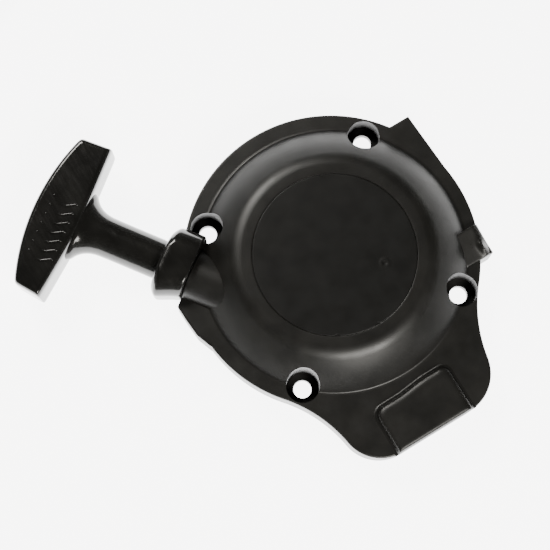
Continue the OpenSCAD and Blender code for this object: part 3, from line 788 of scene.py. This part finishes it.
def build_pawl_spring(name, bearing):
    """About two turns of wire round the pawl's pin, with a straight leg that reaches for the reel's hub."""
    a = np.linspace(0, 2 * np.pi * 2.2, 90) - np.pi / 2
    coil = np.column_stack([2.4 * np.cos(a), 2.4 * np.sin(a), 0.34 + 0.45 * (a - a[0]) / (a[-1] - a[0])])
    path = soften(np.concatenate([[(-0.15, -6.4, 0.42), (-0.15, -4.6, 0.42), (-0.15, -3.1, 0.4)], coil]), 1)
    b = np.linspace(0, 2 * np.pi, 10, endpoint=False)
    wire = sweep(path, 0.2 * np.stack([np.cos(b), np.sin(b)], -1))

    def into_place(p):
        """A quarter turn back, out to the pin, then round to the pawl's bearing."""
        return turned(turned(p, -math.pi / 2) + np.array([PAWL_PIN_AT, 0, 6.62]), bearing)

    return smooth(place(name, moved(wire, into_place)), 50)


def build_wave_washer():
    """Thin ring between the guide and the washer, its height a sine of three waves round it."""
    a = np.linspace(0, 2 * np.pi, 120, endpoint=False)
    wave = 4.675 + 0.13 * np.sin(3 * a)
    rings = [np.column_stack([r * np.cos(a), r * np.sin(a), wave + h])
             for r, h in ((7.2, -0.12), (9.15, -0.12), (9.15, 0.12), (7.2, 0.12))]
    return smooth(place("wave_washer", loft(np.stack(rings), joined=True)), 40)


# ---------------------------------------------------------------- settings

def color(name, text, value):
    return FloatVectorProperty(name=name, description=text, subtype="COLOR", size=3, min=0, max=1,
                               default=value)


def gloss(name, text, value):
    return FloatProperty(name=name, description=text, subtype="FACTOR", min=0.05, max=0.9, default=value)


class StarterLooks(PropertyGroup):
    housing_color: color("Housing", "Colour of the satin moulding", (0.0098, 0.0094, 0.0083))
    disc_color: color("Disc", "Colour of the matt face disc", (0.0045, 0.0044, 0.0039))
    gloss_color: color("Grip", "Colour of the polished grip and collar", (0.0105, 0.0103, 0.0095))
    nylon_color: color("Reel", "Colour of the reel's nylon", (0.72, 0.69, 0.6))
    steel_color: color("Steel", "Colour of the zinc-plated parts", (0.62, 0.63, 0.65))
    spring_color: color("Springs", "Colour of the blued springs", (0.2, 0.22, 0.27))
    brass_color: color("Brass", "Colour of the bush and insert", (0.72, 0.5, 0.2))
    rope_color: color("Rope", "Colour of the braided rope", (0.66, 0.65, 0.6))
    housing_roughness: gloss("Housing gloss", "Roughness of the satin moulding", 0.37)
    gloss_roughness: gloss("Grip gloss", "Roughness of the polished grip and collar", 0.13)


class StarterSizes(PropertyGroup):
    rim_edge: FloatProperty(name="Rim edge", description="Radius on the flange's outer edge", unit="LENGTH",
                            min=0.0003, max=0.002, default=0.0008)
    chevrons: IntProperty(name="Chevrons", description="Raised chevrons on the grip's bar", min=0, max=9,
                          default=7)


class StarterStage(PropertyGroup):
    distance: FloatProperty(name="Camera distance", description="Camera to the middle of the starter",
                            unit="LENGTH", min=0.3, max=3, default=0.6304)
    bearing: FloatProperty(name="Bearing", description="Turn of the camera round the starter",
                           subtype="ANGLE", default=math.radians(-31.2))
    height: FloatProperty(name="Elevation", description="Height of the camera above the horizon",
                          subtype="ANGLE", default=math.radians(79.35))
    lens: FloatProperty(name="Lens", description="Focal length in millimetres", min=20, max=200,
                        default=98.18)
    floor_glow: FloatProperty(name="Floor glow", description="Light given off by the pale floor",
                              min=0, max=30, default=6.5)
    key_power: FloatProperty(name="Key light", description="Power of the upper left light, in watts",
                             min=0, max=200, default=8)
    fill_power: FloatProperty(name="Fill light", description="Power of the lower right light, in watts",
                              min=0, max=200, default=12)


# ---------------------------------------------------------------- operators

class Build:
    bl_options = {"REGISTER", "UNDO"}


class STARTER_OT_housing(Build, Operator):
    """Moulded housing with its dome, tab, pad, hood, outlet, ribs and bosses"""
    bl_idname = "starter.housing"
    bl_label = "Housing"

    def execute(self, context):
        done(build_housing(context.scene.starter_sizes), "housing_assembly", "housing_plastic",
             finish("satin_moulding"), "housing")
        return {"FINISHED"}


class STARTER_OT_face_disc(Build, Operator):
    """Thin matt disc let into the crown of the dome"""
    bl_idname = "starter.face_disc"
    bl_label = "Face disc"

    def execute(self, context):
        done(build_disc(), "housing_assembly", "disc_plastic", finish("matt_disc"), "face_disc")
        return {"FINISHED"}


class STARTER_OT_collar(Build, Operator):
    """Glossy rope guide collar on the housing's outlet"""
    bl_idname = "starter.collar"
    bl_label = "Rope guide collar"

    def execute(self, context):
        done(build_collar(), "housing_assembly", "gloss_plastic", finish("gloss_moulding"),
             "rope_guide_collar")
        return {"FINISHED"}


class STARTER_OT_grip(Build, Operator):
    """Glossy T-grip with raised chevrons on its bar"""
    bl_idname = "starter.grip"
    bl_label = "Grip"

    def execute(self, context):
        done(build_grip(context.scene.starter_sizes), "handle", "gloss_plastic", finish("gloss_moulding"),
             "handle_grip")
        return {"FINISHED"}


class STARTER_OT_rope(Build, Operator):
    """Braided rope: the turns on the reel, the lead to the grip and the knot at each end"""
    bl_idname = "starter.rope"
    bl_label = "Rope"

    def execute(self, context):
        cord = finish("braided_cord")
        done(build_wound(), "reel_assembly", "rope", cord, "rope_coils")
        done(build_reel_knot(), "reel_assembly", "rope", cord, "reel_knot")
        done(build_handle_knot(), "handle", "rope", cord, "handle_knot")
        lead = done(build_lead(), None, "rope", cord, "rope_lead")
        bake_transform(lead)
        return {"FINISHED"}


class STARTER_OT_springs(Build, Operator):
    """Recoil spring, pawl springs and the wave washer"""
    bl_idname = "starter.springs"
    bl_label = "Springs"

    def execute(self, context):
        blued = finish("blued_spring")
        done(build_recoil_spring(), "reel_assembly", "spring_steel", blued, "recoil_spring")
        for letter, bearing in (("a", 90), ("b", 270)):
            a = math.radians(bearing)
            wire = done(build_pawl_spring(f"pawl_spring_{letter}_wire", a), None, "spring_steel", blued,
                        f"pawl_spring_{letter}")
            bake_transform(wire)
        done(build_wave_washer(), "housing_assembly", "spring_steel", blued, "friction_spring")
        return {"FINISHED"}


class STARTER_OT_finishes(Build, Operator):
    """Finishes of the parts that keep their own meshes"""
    bl_idname = "starter.finishes"
    bl_label = "Finishes"

    def execute(self, context):
        looks = {"cast_nylon": ["reel"], "turned_brass": ["reel_bush", "post_insert"],
                 "satin_moulding": ["ratchet_guide"],
                 "zinc_steel": ["rope_eyelet", "spring_case", "spring_cover", "pawl_pin_a", "pawl_pin_b",
                                "pawl_a", "pawl_b", "screw_washer", "centre_screw", "knot_washer"]}
        for name, nodes in looks.items():
            for node in nodes:
                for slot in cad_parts[node].material_slots:
                    slot.material = finish(name)
        return {"FINISHED"}


def aim(obj, at, target):
    """Puts an object at a point and turns its -Z to the target, with its Y up."""
    obj.location = at
    obj.rotation_euler = (Vector(target) - Vector(at)).to_track_quat("-Z", "Y").to_euler()
    bpy.context.scene.collection.objects.link(obj)
    return obj


def around(target, bearing, elevation, distance):
    """Point at a distance from the target, round it by the bearing from -Y and up by the elevation."""
    back = Vector((math.sin(bearing) * math.cos(elevation), -math.cos(bearing) * math.cos(elevation),
                   math.sin(elevation)))
    return Vector(target) + back * distance


class STARTER_OT_stage(Build, Operator):
    """Camera, pale floor, two soft lights and the surroundings"""
    bl_idname = "starter.stage"
    bl_label = "Stage"

    def execute(self, context):
        stage = context.scene.starter_stage
        target = Vector(LOOK_AT)
        data = bpy.data.cameras.new("camera")
        data.lens, data.sensor_width, data.clip_start, data.clip_end = stage.lens, 36, 0.01, 20
        context.scene.camera = aim(bpy.data.objects.new("camera", data),
                                   around(target, stage.bearing, stage.height, stage.distance), target)
        for name, (bearing, elevation, width, height) in LIGHTS.items():
            lamp = bpy.data.lights.new(name, "AREA")
            lamp.energy, lamp.color = getattr(stage, name + "_power"), (1.0, 0.975, 0.92)
            lamp.shape, lamp.size, lamp.size_y = "RECTANGLE", width, height
            aim(bpy.data.objects.new(name, lamp),
                around(target, math.radians(bearing), math.radians(elevation), LIGHT_DISTANCE), target)
        self.floor(stage)
        self.world(context.scene)
        return {"FINISHED"}

    def floor(self, stage):
        """A wide pale sheet just under the starter, clear from below, whose glow fades further out."""
        n, half = 12, 3.0
        x, y = np.meshgrid(np.linspace(-half, half, n), np.linspace(-half, half, n), indexing="xy")
        i, j = np.meshgrid(np.arange(n - 1), np.arange(n - 1), indexing="ij")
        k = i * n + j
        mesh = bpy.data.meshes.new("floor")
        mesh.from_pydata(np.stack([x, y, np.full_like(x, -0.0006)], -1).reshape(-1, 3).tolist(), [],
                         np.stack([k, k + 1, k + n + 1, k + n], -1).reshape(-1, 4).tolist())
        floor = bpy.data.objects.new("floor", mesh)
        bpy.context.scene.collection.objects.link(floor)
        pale = Finish("pale_floor", (0.9, 0.9, 0.9), 0.6, Emission_Color=(1, 1, 1, 1))
        away = pale.add("ShaderNodeVectorMath", operation="LENGTH")
        pale.link(pale.coords, away.inputs[0])
        glow = stage.floor_glow
        pale.link(pale.span(away.outputs["Value"], glow, FLOOR_FAR_SHARE * glow, FLOOR_FADE),
                  pale.shader.inputs["Emission Strength"])
        clear = pale.add("ShaderNodeBsdfTransparent")
        mix = pale.add("ShaderNodeMixShader")
        side = pale.add("ShaderNodeNewGeometry")
        out = pale.tree.nodes["Material Output"]
        pale.link(side.outputs["Backfacing"], mix.inputs["Fac"])
        pale.link(pale.shader.outputs["BSDF"], mix.inputs[1])
        pale.link(clear.outputs["BSDF"], mix.inputs[2])
        pale.link(mix.outputs["Shader"], out.inputs["Surface"])
        mesh.materials.append(pale.material)

    def world(self, scene):
        """Grey surroundings up to the horizon, darker overhead."""
        world = bpy.data.worlds.new("studio")
        scene.world = world
        world.use_nodes = True
        tree = world.node_tree
        shade = tree.nodes["Background"]
        coords = tree.nodes.new("ShaderNodeTexCoord")
        split = tree.nodes.new("ShaderNodeSeparateXYZ")
        ramp = tree.nodes.new("ShaderNodeValToRGB")
        tree.links.new(coords.outputs["Generated"], split.inputs["Vector"])
        tree.links.new(split.outputs["Z"], ramp.inputs["Fac"])
        tree.links.new(ramp.outputs["Color"], shade.inputs["Color"])
        first, last = ramp.color_ramp.elements
        first.position, first.color = 0.03, (0.4, 0.4, 0.39, 1)
        last.position, last.color = 0.5, (0.03, 0.03, 0.028, 1)
        shade.inputs["Strength"].default_value = 1.0


PIECES = (STARTER_OT_stage, STARTER_OT_housing, STARTER_OT_face_disc, STARTER_OT_collar, STARTER_OT_grip,
          STARTER_OT_rope, STARTER_OT_springs, STARTER_OT_finishes)


class STARTER_PT_panel(Panel):
    """The starter's pieces and their settings"""
    bl_idname = "STARTER_PT_panel"
    bl_label = "Recoil Starter"
    bl_space_type = "VIEW_3D"
    bl_region_type = "UI"
    bl_category = "Starter"

    def draw(self, context):
        for piece in PIECES:
            self.layout.operator(piece.bl_idname)
        for group in (context.scene.starter_sizes, context.scene.starter_looks, context.scene.starter_stage):
            box = self.layout.box()
            for name in group.__annotations__:
                box.prop(group, name)


GROUPS = {"starter_looks": StarterLooks, "starter_sizes": StarterSizes, "starter_stage": StarterStage}


def register():
    for cls in (*GROUPS.values(), *PIECES, STARTER_PT_panel):
        bpy.utils.register_class(cls)
    for name, cls in GROUPS.items():
        setattr(bpy.types.Scene, name, PointerProperty(type=cls))


def unregister():
    for name in GROUPS:
        delattr(bpy.types.Scene, name)
    for cls in (STARTER_PT_panel, *reversed(PIECES), *GROUPS.values()):
        bpy.utils.unregister_class(cls)


def main():
    """Registers the add-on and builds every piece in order."""
    register()
    bpy.ops.starter.stage()
    bpy.ops.starter.housing()
    bpy.ops.starter.face_disc()
    bpy.ops.starter.collar()
    bpy.ops.starter.grip()
    bpy.ops.starter.rope()
    bpy.ops.starter.springs()
    bpy.ops.starter.finishes()


if __name__ == "__main__":
    main()
